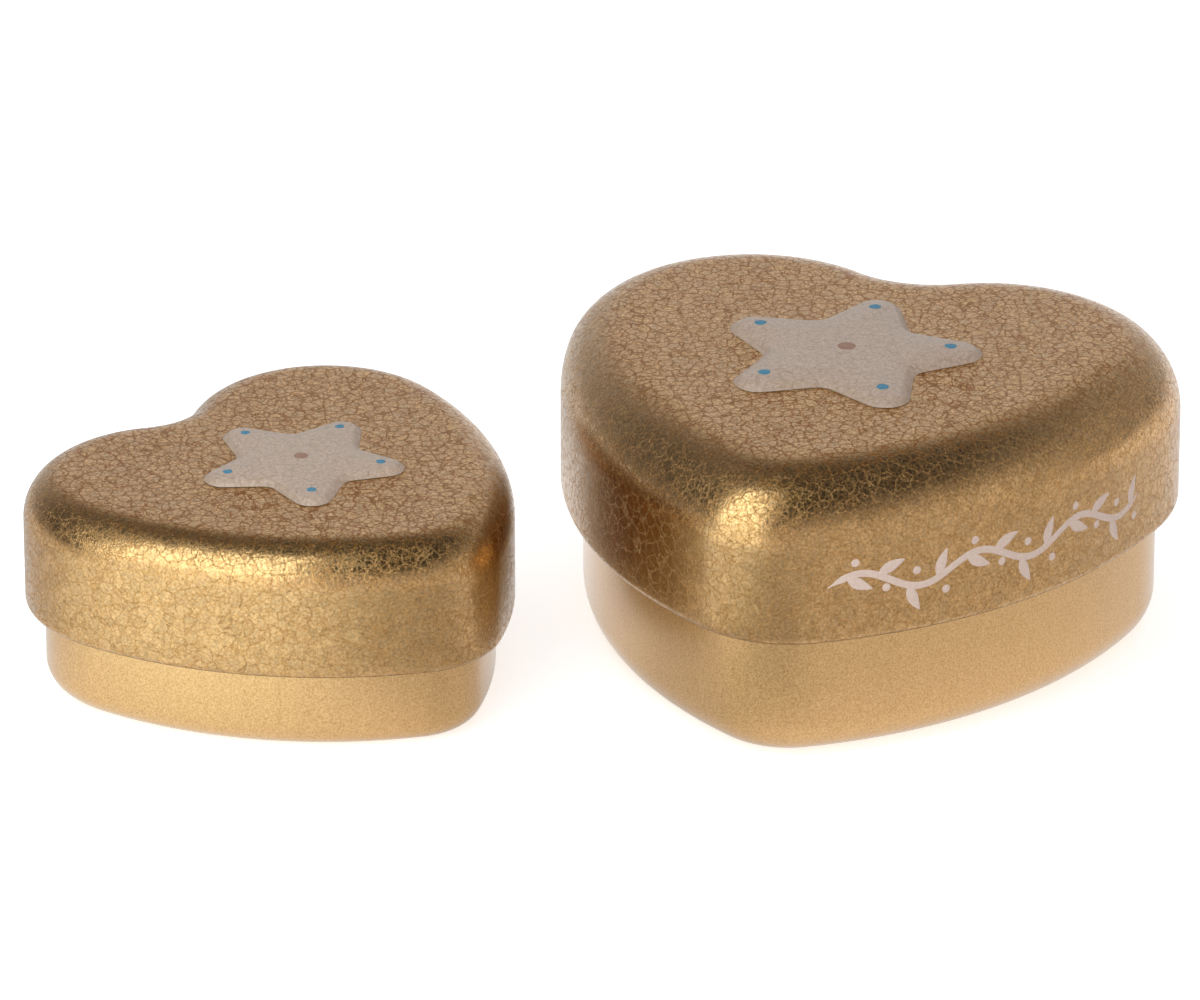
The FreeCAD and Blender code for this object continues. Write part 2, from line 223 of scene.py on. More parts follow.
def satin_gold_lacquer():
    """Clear gold lacquer over drawn tinplate: a warm satin metal under a thin glossy coat.

    The eye sees a fine speckle and faint upright marks from the drawing. The real speckle is finer
    and is drawn as coarse as it needs to show. Sizes are in millimetres.
    """
    speckle_width, mark_width, upright_squeeze = 0.2, 1 / 0.9, 0.06
    dark_speckle, light_speckle = linear("#C88F4A"), linear("#FFD08E")
    material, tree = new_material("satin_gold_lacquer")
    mm = millimetres(tree)
    grain = add(tree, "ShaderNodeTexNoise", {
        "Vector": mm, "Scale": 1 / speckle_width, "Detail": 2.0, "Roughness": 0.8})
    drawn_out = add(tree, "ShaderNodeVectorMath", {
        0: mm, 1: (1.0, 1.0, upright_squeeze)}, operation="MULTIPLY")
    marks = add(tree, "ShaderNodeTexNoise", {
        "Vector": drawn_out, "Scale": 1 / mark_width, "Detail": 3.0})
    tone = add(tree, "ShaderNodeMapRange", {"Value": grain, "From Min": 0.22, "From Max": 0.64})
    streak = add(tree, "ShaderNodeMapRange", {
        "Value": marks, "From Min": 0.3, "From Max": 0.7, "To Min": 0.96, "To Max": 1.0})
    speckled = add(tree, "ShaderNodeMix", {
        "Factor": tone, "A": dark_speckle, "B": light_speckle}, data_type="RGBA")
    colour = add(tree, "ShaderNodeMix", {
        "Factor": 1.0, "A": speckled, "B": streak}, data_type="RGBA", blend_type="MULTIPLY")
    roughness = add(tree, "ShaderNodeMapRange", {
        "Value": grain, "From Min": 0.25, "From Max": 0.75, "To Min": 0.26, "To Max": 0.46})
    relief = add(tree, "ShaderNodeBump", {"Height": grain, "Distance": 0.00001, "Strength": 1.0})
    shader = add(tree, "ShaderNodeBsdfPrincipled", {
        "Base Color": colour, "Metallic": 1.0, "Roughness": roughness, "Normal": relief,
        "Coat Weight": 1.0, "Coat Roughness": 0.2})
    add(tree, "ShaderNodeOutputMaterial", {"Surface": shader})
    return material


gold_lacquer = satin_gold_lacquer()
for tin_name, tin in TINS.items():
    outline, inwards = heart(tin, RING_POINTS)
    wall = tin["hem"] + HEM_CLEARANCE
    edge, rim = tin["base_edge"], tin["rim"] / 2
    wall_top = tin["base_height"] - rim
    flat_ring = wall + edge + FLAT_RING_INSET
    section = np.concatenate([
        [[flat_ring, 0.0]],
        arc_profile(wall + edge, edge, edge, -90, 0, count=16),
        wall_profile(wall, edge, wall_top, count=6),
        arc_profile(wall + rim, wall_top, rim, 0, 270, count=28),
        arc_profile(wall + rim, wall_top, rim - SHEET, 270, 0, count=24),
        wall_profile(wall + SHEET, wall_top, edge, count=4),
        arc_profile(wall + edge, edge, edge - SHEET, 0, -90, count=14),
        [[flat_ring, SHEET]],
    ])
    # The fans of the bottom meet at a point on the heart's axis, well inside it.
    middle_y = -0.3 * tin["tip_drop"]
    cup = shell(carried(outline, inwards, section), [0, middle_y, 0], [0, middle_y, SHEET])
    base = smooth_piece(f"{tin_name}_base_shell", [cup], tin_name, gold_lacquer)
    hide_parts(f"{tin_name}_base")
    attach(base, f"{tin_name}_base")


# Tin lids: a slip lid drawn from the same sheet, with a broad rounded edge and a hem curled inwards.
# Its star is pressed up out of the top, and gold crackle lacquer was sprayed on after drawing.
# A star's height takes in the enamel and the ink that lie on the pressed sheet.
STAR_ARMS = 5
STARS = {
    "large": {
        "drop": 9.5, "reach": 17.5, "waist": 8.4, "tip": 2.5, "corner": 2.0,
        "height": 1.1, "flank": 0.9,
    },
    "small": {
        "drop": 8.4, "reach": 13.6, "waist": 6.5, "tip": 2.0, "corner": 1.6,
        "height": 0.9, "flank": 0.7,
    },
}
ENAMEL = 0.05
INK = 0.03
STAR_FOOT = 0.35
FLANK_SHARE = 0.55
CROWN_REACH = 0.45


def star_distance(star, x, y):
    """How far a point lies outside the rounded star (less than zero inside it), in millimetres.

    The plane is folded onto half an arm. There the outline is a straight edge, a round tip whose
    centre is on the arm's axis and a round inner corner whose centre is on the line between arms.
    """
    half_turn = math.pi / STAR_ARMS
    angle = np.arctan2(x, y)
    folded = np.abs((angle + half_turn) % (2 * half_turn) - half_turn)
    radius = np.hypot(x, y)
    p = np.stack([radius * np.cos(folded), radius * np.sin(folded)], axis=-1)
    between = np.array([math.cos(half_turn), math.sin(half_turn)])
    tip = np.array([star["reach"], 0.0])
    edge = star["waist"] * between - tip
    edge /= np.hypot(*edge)
    out = np.array([edge[1], -edge[0]])
    tip_centre = np.array([star["reach"] - star["tip"] / out[0], 0.0])
    corner_centre = (star["corner"] + out @ tip) / (out @ between) * between
    travelled = (p - tip) @ edge
    near_tip = travelled < (tip_centre - tip) @ edge
    near_corner = travelled > (corner_centre - tip) @ edge
    round_tip = np.linalg.norm(p - tip_centre, axis=-1) - star["tip"]
    round_corner = star["corner"] - np.linalg.norm(p - corner_centre, axis=-1)
    return np.where(near_tip, round_tip, np.where(near_corner, round_corner, (p - tip) @ out))


def star_rise(star, distance):
    """Height of the pressed sheet at a distance from the star's outline, in millimetres.

    A smooth step up the flank, from its foot just outside the outline, gives one share of the
    height. A quarter of a sine wave from the outline inwards gives the rest, as a broad crown.
    """
    step = np.clip((STAR_FOOT - distance) / (STAR_FOOT + star["flank"]), 0, 1)
    crown = np.clip(-distance / (CROWN_REACH * star["waist"]), 0, 1)
    flank_part = FLANK_SHARE * step * step * (3 - 2 * step)
    crown_part = (1 - FLANK_SHARE) * np.sin(crown * math.pi / 2)
    return (star["height"] - ENAMEL - INK) * (flank_part + crown_part)


def star_levels(star, beyond, flank_rings):
    """Distances to the star's outline for the rings of a mesh: sparse on the crown, then dense.

    They run from near the centre, the deepest point, to a distance beyond the outline.
    """
    deepest = -star_distance(star, np.zeros(1), np.zeros(1))[0]
    crown = -deepest * np.linspace(0.96, 0.25, 9)
    return np.concatenate([crown, np.linspace(-0.22 * deepest, beyond, flank_rings)])


def star_radius(star, directions, distance):
    """How far from the star's centre, along each direction, a distance to its outline is met.

    The distance grows steadily along a ray from the centre, so halving the interval finds it.
    """
    low = np.zeros((len(distance), len(directions)))
    high = np.full_like(low, 2 * star["reach"])
    for _ in range(40):
        middle = (low + high) / 2
        reached = star_distance(star, middle * directions[:, 0], middle * directions[:, 1])
        outside = reached > distance[:, None]
        low, high = np.where(outside, low, middle), np.where(outside, middle, high)
    return (low + high) / 2


def lid_top(tin, star, outline, inwards):
    """Rings of the lid's top from the star's centre out to where its edge begins to round.

    Inside, each ring keeps one distance to the star's outline; outside, rings fan out evenly to the
    heart. All lie on straight rays from the star's centre, and the star's rise gives their height.
    """
    rim = outline + inwards * tin["lid_edge"]
    ray = rim - np.array([0.0, -star["drop"]])
    reach = np.linalg.norm(ray, axis=1)
    ray /= reach[:, None]
    at_star = star_radius(star, ray, star_levels(star, beyond=STAR_FOOT + 0.01, flank_rings=20))
    outer = at_star[-1] + (reach - at_star[-1]) * np.linspace(0, 1, 9)[1:, None]
    radius = np.concatenate([at_star, outer])
    x, y = radius * ray[:, 0], radius * ray[:, 1]
    rise = star_rise(star, star_distance(star, x, y))
    return np.stack([x, y - star["drop"], tin["lid_depth"] + rise], axis=-1)


def lid_seat(tin_name):
    """Height of a closed lid's lower edge above the floor, in millimetres."""
    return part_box(f"{tin_name}_lid")[0].z * 1000


def crackle_gold_lacquer():
    """Gold crackle lacquer over tinplate: the top coat shrank into plates with cracks between.

    The eye sees small glossy plates with ragged edges that roll down into brown cracks. Each plate is
    tilted a little, and fine wrinkles run all over. The cracks are open on the flat top and nearly
    closed on the bend. Down the wall the plates lie flatter and duller, and painted shade makes
    them a little darker. Shallow brown pits lie between them there, partly the cracks' own colour
    and partly painted shade in the furrows. Sizes are in millimetres.
    """
    plate_width, fine_width, wrinkle_width, patch_width = 1.25, 0.6, 1 / 3.4, 1 / 0.45
    ragged_width, ragged_reach, wrinkle_depth, plate_tilt = 1.0, 1.2, 0.014, 0.045
    plate_gold, crack_brown, pit_brown_and_shade = linear("#E1B276"), linear("#AC6310"), linear("#8A5C30")
    material, tree = new_material("crackle_gold_lacquer")
    mm = millimetres(tree)
    bend = add(tree, "ShaderNodeTexNoise", {
        "Vector": mm, "Scale": 1 / ragged_width, "Detail": 6.0, "Roughness": 0.78})
    bent = add(tree, "ShaderNodeVectorMath", {
        0: bend.outputs["Color"], 1: (ragged_reach,) * 3, 2: mm}, operation="MULTIPLY_ADD")
    plate = add(tree, "ShaderNodeTexVoronoi", {"Vector": bent, "Scale": 1 / plate_width})
    edge = add(tree, "ShaderNodeTexVoronoi", {
        "Vector": bent, "Scale": 1 / plate_width}, feature="DISTANCE_TO_EDGE")
    fine_edge = add(tree, "ShaderNodeTexVoronoi", {
        "Vector": bent, "Scale": 1 / fine_width}, feature="DISTANCE_TO_EDGE")
    wrinkle = add(tree, "ShaderNodeTexNoise", {
        "Vector": mm, "Scale": 1 / wrinkle_width, "Detail": 3.0, "Roughness": 0.7})
    patch = add(tree, "ShaderNodeTexNoise", {
        "Vector": mm, "Scale": 1 / patch_width, "Detail": 2.0})

    # How the sheet faces: 1 on the flat top, 0 on the wall.
    facing = add(tree, "ShaderNodeNewGeometry").outputs["Normal"]
    up = add(tree, "ShaderNodeSeparateXYZ", {"Vector": facing}).outputs["Z"]
    opened = add(tree, "ShaderNodeMapRange", {
        "Value": up, "From Min": 0.8, "From Max": 0.99, "To Min": 0.15, "To Max": 1.0})
    fine_opened = add(tree, "ShaderNodeMapRange", {
        "Value": up, "From Min": 0.8, "From Max": 0.99, "To Min": 0.42, "To Max": 0.75})
    # Partly the cracks' own brown, partly painted shade: on the wall the cracks turn to matt brown
    # pits.
    pitted_crack_and_shade = add(tree, "ShaderNodeMapRange", {
        "Value": up, "From Min": 0.0, "From Max": 0.15, "To Min": 0.2, "To Max": 0.0})
    # Painted shade: plates on the wall are painted up to 7% darker than on the top.
    wall_painted_shade = add(tree, "ShaderNodeMapRange", {
        "Value": up, "From Min": 0.0, "From Max": 0.3, "To Min": 0.93, "To Max": 1.0})
    relief_left = add(tree, "ShaderNodeMapRange", {
        "Value": up, "From Min": 0.3, "From Max": 0.7, "To Min": 0.5, "To Max": 1.0})
    dull = add(tree, "ShaderNodeMapRange", {
        "Value": up, "From Min": 0.0, "From Max": 0.35, "To Min": 0.3, "To Max": 0.16})

    # The cracks round the plates are broken in places, and the fine ones lie in patches.
    crack = add(tree, "ShaderNodeMapRange", {
        "Value": edge, "From Min": 0.0, "From Max": 0.092, "To Min": 1.0, "To Max": 0.0,
    }, interpolation_type="SMOOTHSTEP")
    broken = add(tree, "ShaderNodeMapRange", {
        "Value": bend, "From Min": 0.36, "From Max": 0.54, "To Min": 0.45, "To Max": 1.0})
    ragged = add(tree, "ShaderNodeMath", {0: crack, 1: broken}, operation="MULTIPLY")
    fine_crack = add(tree, "ShaderNodeMapRange", {
        "Value": fine_edge, "From Min": 0.0, "From Max": 0.1, "To Min": fine_opened, "To Max": 0.0,
    }, interpolation_type="SMOOTHSTEP")
    in_patches = add(tree, "ShaderNodeMapRange", {
        "Value": patch, "From Min": 0.38, "From Max": 0.62, "To Min": 0.35, "To Max": 1.0})
    fine = add(tree, "ShaderNodeMath", {0: fine_crack, 1: in_patches}, operation="MULTIPLY")
    wide = add(tree, "ShaderNodeMath", {0: ragged, 1: opened}, operation="MULTIPLY")
    depth = add(tree, "ShaderNodeMath", {0: wide, 1: fine}, operation="MAXIMUM")
    pit_crack_and_shade = add(tree, "ShaderNodeMath", {0: ragged, 1: pitted_crack_and_shade}, operation="MULTIPLY")
    bare = add(tree, "ShaderNodeMath", {0: ragged, 1: fine}, operation="MAXIMUM")

    # Each plate has its own tone, wrinkles darken and lighten it, and painted shade darkens the wall.
    plate_tone = add(tree, "ShaderNodeMapRange", {
        "Value": plate.outputs["Color"], "To Min": 0.9, "To Max": 1.1})
    wrinkle_tone = add(tree, "ShaderNodeMapRange", {
        "Value": wrinkle, "From Min": 0.25, "From Max": 0.75, "To Min": 0.55, "To Max": 1.4})
    plain_tone = add(tree, "ShaderNodeMath", {0: plate_tone, 1: wrinkle_tone}, operation="MULTIPLY")
    tone = add(tree, "ShaderNodeMath", {0: plain_tone, 1: wall_painted_shade}, operation="MULTIPLY")
    whole = add(tree, "ShaderNodeMix", {
        "Factor": 1.0, "A": plate_gold, "B": tone}, data_type="RGBA", blend_type="MULTIPLY")
    cracked = add(tree, "ShaderNodeMix", {
        "Factor": depth, "A": whole, "B": crack_brown}, data_type="RGBA")
    colour = add(tree, "ShaderNodeMix", {
        "Factor": pit_crack_and_shade, "A": cracked, "B": pit_brown_and_shade}, data_type="RGBA")
    metal = add(tree, "ShaderNodeMath", {0: 1.0, 1: pit_crack_and_shade}, operation="SUBTRACT")
    gloss = add(tree, "ShaderNodeMapRange", {
        "Value": bare, "From Min": 0.0, "From Max": 0.3, "To Min": 0.85, "To Max": 0.0})

    # The relief in millimetres: rolled edges, tilted plates and wrinkles.
    roll = add(tree, "ShaderNodeMapRange", {
        "Value": opened, "From Min": 0.15, "From Max": 1.0, "To Min": 0.009, "To Max": 0.006})
    rolled = add(tree, "ShaderNodeMapRange", {
        "Value": edge, "From Min": 0.0, "From Max": 0.05, "To Min": 0.0, "To Max": roll,
    }, interpolation_type="SMOOTHSTEP")
    fine_rolled = add(tree, "ShaderNodeMapRange", {
        "Value": fine_edge, "From Min": 0.0, "From Max": 0.1, "To Min": 0.0, "To Max": 0.006,
    }, interpolation_type="SMOOTHSTEP")
    from_middle = add(tree, "ShaderNodeVectorMath", {
        0: bent, 1: plate.outputs["Position"]}, operation="SUBTRACT")
    lean = add(tree, "ShaderNodeVectorMath", {
        0: plate.outputs["Color"], 1: (0.5, 0.5, 0.5)}, operation="SUBTRACT")
    tilt = add(tree, "ShaderNodeVectorMath", {0: from_middle, 1: lean}, operation="DOT_PRODUCT")
    tilted = add(tree, "ShaderNodeMath", {
        0: tilt, 1: plate_tilt, 2: rolled}, operation="MULTIPLY_ADD")
    plates = add(tree, "ShaderNodeMath", {0: tilted, 1: fine_rolled}, operation="ADD")
    flattened = add(tree, "ShaderNodeMath", {0: plates, 1: relief_left}, operation="MULTIPLY")
    height = add(tree, "ShaderNodeMath", {
        0: wrinkle, 1: wrinkle_depth, 2: flattened}, operation="MULTIPLY_ADD")
    relief = add(tree, "ShaderNodeBump", {"Height": height, "Distance": 0.001, "Strength": 1.0})
    shader = add(tree, "ShaderNodeBsdfPrincipled", {
        "Base Color": colour, "Metallic": metal, "Roughness": dull, "Normal": relief,
        "Coat Weight": gloss, "Coat Roughness": 0.15, "Coat Normal": relief})
    add(tree, "ShaderNodeOutputMaterial", {"Surface": shader})
    return material


crackle_lacquer = crackle_gold_lacquer()
for tin_name, tin in TINS.items():
    star = STARS[tin_name]
    outline, inwards = heart(tin, RING_POINTS)
    edge, hem, depth = tin["lid_edge"], tin["hem"] / 2, tin["lid_depth"]
    section = np.concatenate([
        arc_profile(edge, depth - edge, edge, 90, 0, count=26)[1:],
        wall_profile(0.0, depth - edge, hem, count=6),
        arc_profile(hem, hem, hem, 0, -270, count=20),
        arc_profile(hem, hem, hem - SHEET, -270, 0, count=14),
        wall_profile(SHEET, hem, depth - edge, count=3),
        arc_profile(edge, depth - edge, edge - SHEET, 0, 90, count=14)[:-1],
    ])
    top = lid_top(tin, star, outline, inwards)
    under = top[::-1] - [0, 0, SHEET]
    rings = np.concatenate([top, carried(outline, inwards, section), under])
    seat = np.array([0, 0, lid_seat(tin_name)])
    crown = seat + [0, -star["drop"], depth + star["height"] - ENAMEL - INK]
    cap = shell(rings + seat, crown, crown - [0, 0, SHEET])
    lid = smooth_piece(f"{tin_name}_lid_shell", [cap], tin_name, crackle_lacquer)
    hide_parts(f"{tin_name}_lid")
    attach(lid, f"{tin_name}_lid")


# Star coats: cream stove enamel screened over each pressed star, flank and all.
# It is a thin skin that follows the sheet and thins out just past the star's outline.
COAT_OVERLAP = 0.12
COAT_TAPER = 0.3
COAT_POINTS = 480


def cream_enamel():
    """Cream stove enamel under a clear glaze, mottled, with hair cracks. Sizes are in millimetres."""
    mottle_width, hair_spacing = 1 / 2.4, 1 / 0.9
    dark_cream, light_cream, hair_brown = linear("#A88E79"), linear("#D6BDAC"), linear("#7A6856")
    material, tree = new_material("cream_enamel")
    mm = millimetres(tree)
    mottle = add(tree, "ShaderNodeTexNoise", {
        "Vector": mm, "Scale": 1 / mottle_width, "Detail": 4.0, "Roughness": 0.9})
    hair = add(tree, "ShaderNodeTexVoronoi", {
        "Vector": mm, "Scale": 1 / hair_spacing}, feature="DISTANCE_TO_EDGE")
    cracked = add(tree, "ShaderNodeMapRange", {
        "Value": hair, "From Min": 0.0, "From Max": 0.05, "To Min": 0.35, "To Max": 0.0})
    spread = add(tree, "ShaderNodeMapRange", {"Value": mottle, "From Min": 0.32, "From Max": 0.68})
    cream = add(tree, "ShaderNodeMix", {
        "Factor": spread, "A": dark_cream, "B": light_cream}, data_type="RGBA")
    colour = add(tree, "ShaderNodeMix", {
        "Factor": cracked, "A": cream, "B": hair_brown}, data_type="RGBA")
    relief = add(tree, "ShaderNodeBump", {"Height": mottle, "Distance": 0.00005, "Strength": 1.0})
    shader = add(tree, "ShaderNodeBsdfPrincipled", {
        "Base Color": colour, "Roughness": 0.32, "Normal": relief,
        "Coat Weight": 0.5, "Coat Roughness": 0.12, "Coat Normal": relief})
    add(tree, "ShaderNodeOutputMaterial", {"Surface": shader})
    return material


enamel = cream_enamel()
for tin_name, tin in TINS.items():
    star = STARS[tin_name]
    turn = np.linspace(0, 2 * math.pi, COAT_POINTS, endpoint=False)
    ray = np.stack([np.cos(turn), np.sin(turn)], axis=1)
    level = star_levels(star, beyond=COAT_OVERLAP, flank_rings=18)
    radius = star_radius(star, ray, level)
    x, y = radius * ray[:, 0], radius * ray[:, 1]
    rise = star_rise(star, star_distance(star, x, y))
    thinning = np.sqrt(np.clip((COAT_OVERLAP - level) / COAT_TAPER, 0, 1))[:, None]
    top_z = lid_seat(tin_name) + tin["lid_depth"]
    skin = np.stack([x, y - star["drop"], top_z + rise + ENAMEL * thinning], axis=-1)
    back = np.stack([x, y - star["drop"], top_z + rise - ENAMEL], axis=-1)[::-1]
    crown = np.array([0, -star["drop"], top_z + star["height"] - INK])
    skins = shell(np.concatenate([skin, back]), crown, crown - [0, 0, 2 * ENAMEL])
    coat = smooth_piece(f"{tin_name}_star_coat", [skins], tin_name, enamel)
    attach(coat, f"{tin_name}_lid")


# Printed dots on the stars: one blue dot near the end of each arm and a terracotta one in the middle.
# They are pad-printed ink, a few hundredths of a millimetre thick, on the enamel.
# Their places and radii are shares of the star's reach.
ARM_DOT_PLACE = 0.62
ARM_DOT_RADIUS = 0.037
MIDDLE_DOT_RADIUS = 0.055
STROKE_POINTS = 16


def stroke(axis, half_width):
    """A brush stroke of ink, as rings round its axis: a flat ellipse at each step.

    Rings hold (along, across, proud), in the plane of the print and out of it; half of the ellipse
    lies under the surface, so the ink meets it without a gap.
    """
    way = np.gradient(axis, axis=0)
    way /= np.linalg.norm(way, axis=1)[:, None]
    side = np.stack([way[:, 1], -way[:, 0]], axis=1)
    turn = np.linspace(0, 2 * math.pi, STROKE_POINTS, endpoint=False)
    across = half_width[:, None, None] * np.cos(turn)[None, :, None] * side[:, None]
    flat = axis[:, None] + across
    proud = np.broadcast_to(INK * np.sin(turn)[None, :, None], flat.shape[:2] + (1,))
    return np.concatenate([flat, proud], axis=2)


def round_dot(x, y, radius):
    """Axis and half widths of a stroke that makes a round dot: the half chord at each step."""
    share = np.cos(np.linspace(math.pi, 0, STROKE_POINTS)[1:-1])
    axis = np.stack([x + radius * share, np.full_like(share, y)], axis=1)
    return axis, radius * np.sqrt(1 - share ** 2)


def printed(strokes, surface):
    """Closed surfaces of strokes laid on a surface, which maps (along, across, proud) to points.

    The two ends of a stroke's axis, on the surface, are its poles.
    """
    return [
        shell(surface(stroke(axis, width)), *surface(np.pad(axis[[0, -1]], ((0, 0), (0, 1)))))
        for axis, width in strokes
    ]


def on_star(star, top_z, p):
    """Points of the print laid on an enamelled star, whose rise above the lid's top lifts them."""
    rise = star_rise(star, star_distance(star, p[..., 0], p[..., 1])) + ENAMEL
    return np.stack([p[..., 0], p[..., 1] - star["drop"], top_z + rise + p[..., 2]], axis=-1)


def printing_ink(name, full_hex, thin_hex):
    """Opaque printing ink, slightly matt and uneven where it lies thin. Sizes are in millimetres."""
    patch_width = 1 / 3
    material, tree = new_material(name)
    uneven = add(tree, "ShaderNodeTexNoise", {
        "Vector": millimetres(tree), "Scale": 1 / patch_width, "Detail": 3.0, "Roughness": 0.7})
    thin = add(tree, "ShaderNodeMapRange", {"Value": uneven, "From Min": 0.35, "From Max": 0.75})
    colour = add(tree, "ShaderNodeMix", {
        "Factor": thin, "A": linear(full_hex), "B": linear(thin_hex)}, data_type="RGBA")
    shader = add(tree, "ShaderNodeBsdfPrincipled", {"Base Color": colour, "Roughness": 0.5})
    add(tree, "ShaderNodeOutputMaterial", {"Surface": shader})
    return material


blue_ink = printing_ink("blue_ink", "#3B7FA0", "#5C93AB")
terracotta_ink = printing_ink("terracotta_ink", "#9A7360", "#AD8A75")
for tin_name, tin in TINS.items():
    star = STARS[tin_name]
    reach = star["reach"]
    surface = partial(on_star, star, lid_seat(tin_name) + tin["lid_depth"])
    arms = 2 * math.pi / STAR_ARMS * np.arange(STAR_ARMS)
    out = ARM_DOT_PLACE * reach
    dots = [
        round_dot(out * math.sin(arm), out * math.cos(arm), ARM_DOT_RADIUS * reach) for arm in arms]
    middle = [round_dot(0, 0, MIDDLE_DOT_RADIUS * reach)]
    arm_dots = smooth_piece(f"{tin_name}_arm_dots", printed(dots, surface), tin_name, blue_ink)
    middle_dot = smooth_piece(
        f"{tin_name}_middle_dot", printed(middle, surface), tin_name, terracotta_ink)
    for print_piece in (arm_dots, middle_dot):
        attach(print_piece, f"{tin_name}_lid")


# Printed garland on the large lid's skirt: a waved stem with almond leaves and dots in off-white ink.
# It is pad-printed on the lacquer, with a stem a little under a millimetre wide.
# Start and height are those of the stem along the skirt and above the floor; the lean is in radians.
GARLAND = {
    "start": 7.5, "length": 41.0, "height": 20.6, "wave": 13.6, "swing": 1.2,
    "stroke": 0.8, "taper": 1.5, "thinnest": 0.2,
    "first_leaf": 2.0, "leaf_spacing": 3.4, "bare_end": 1.0,
    "leaf_lean": 1.05, "leaf_bow": 0.22, "leaf_length": 3.3, "leaf_half_width": 0.62,
    "dot_ahead": 0.9, "dot_aside": 1.5, "dot_radius": 0.45,
}
skirt, skirt_inwards = heart(TINS["large"], samples=4000)
skirt_steps = np.linalg.norm(np.diff(skirt, axis=0), axis=1)
skirt_travelled = np.concatenate([[0], np.cumsum(skirt_steps)])


def garland_stem(travelled):
    """Points of the stem: along the skirt, and up and down it by a sine of the way along."""
    swing = GARLAND["swing"] * np.sin(2 * math.pi * travelled / GARLAND["wave"])
    return np.stack([GARLAND["start"] + travelled, GARLAND["height"] + swing], axis=1)


def garland_leaf(root, lean, bow):
    """Axis and half widths of a leaf that sets out at a lean and bows aside with the way squared.

    Its width is a sine that is widest a little before the middle and ends in points.
    """
    share = np.linspace(0, 1, 24)[1:-1, None]
    ahead = np.array([math.cos(lean), math.sin(lean)])
    aside = np.array([-ahead[1], ahead[0]])
    axis = root + GARLAND["leaf_length"] * (share * ahead + bow * share ** 2 * aside)
    return axis, GARLAND["leaf_half_width"] * np.sin(math.pi * share[:, 0] ** 0.8)


def on_skirt(p):
    """Points of the print laid on the large lid's skirt: along its outline, up and out."""
    x, y, inwards_x, inwards_y = (
        np.interp(p[..., 0], skirt_travelled, line) for line in (*skirt.T, *skirt_inwards.T))
    out = p[..., 2]
    return np.stack([x - out * inwards_x, y - out * inwards_y, p[..., 1]], axis=-1)


off_white_ink = printing_ink("off_white_ink", "#F3D8CA", "#E6CABB")
walk = np.linspace(0, GARLAND["length"], 240)
from_end = np.minimum(walk, GARLAND["length"] - walk)
pressure = np.clip(from_end / GARLAND["taper"], GARLAND["thinnest"], 1)
strokes = [(garland_stem(walk), 0.5 * GARLAND["stroke"] * pressure)]
leaf_places = np.arange(
    GARLAND["first_leaf"], GARLAND["length"] - GARLAND["bare_end"], GARLAND["leaf_spacing"])
for leaf, at in enumerate(leaf_places):
    side = 1 if leaf % 2 else -1
    root, ahead = garland_stem(np.array([at, at + 0.01]))
    course = math.atan2(*(ahead - root)[::-1])
    dot_x, dot_y = root[0] + GARLAND["dot_ahead"], root[1] - side * GARLAND["dot_aside"]
    strokes += [
        garland_leaf(root, course + side * GARLAND["leaf_lean"], -side * GARLAND["leaf_bow"]),
        round_dot(dot_x, dot_y, GARLAND["dot_radius"]),
    ]
garland = smooth_piece("large_lid_garland", printed(strokes, on_skirt), "large", off_white_ink)
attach(garland, "large_lid")


# Stage: a plain white floor, soft studio light and the camera at the photograph's angle. The tins are
# near mirrors, so most of what they show is the floor, a panel of light at the front left and a dim
# room. Places and sizes are in metres.
FLOOR_HALF = 3
FLOOR_DROP = 0.00002


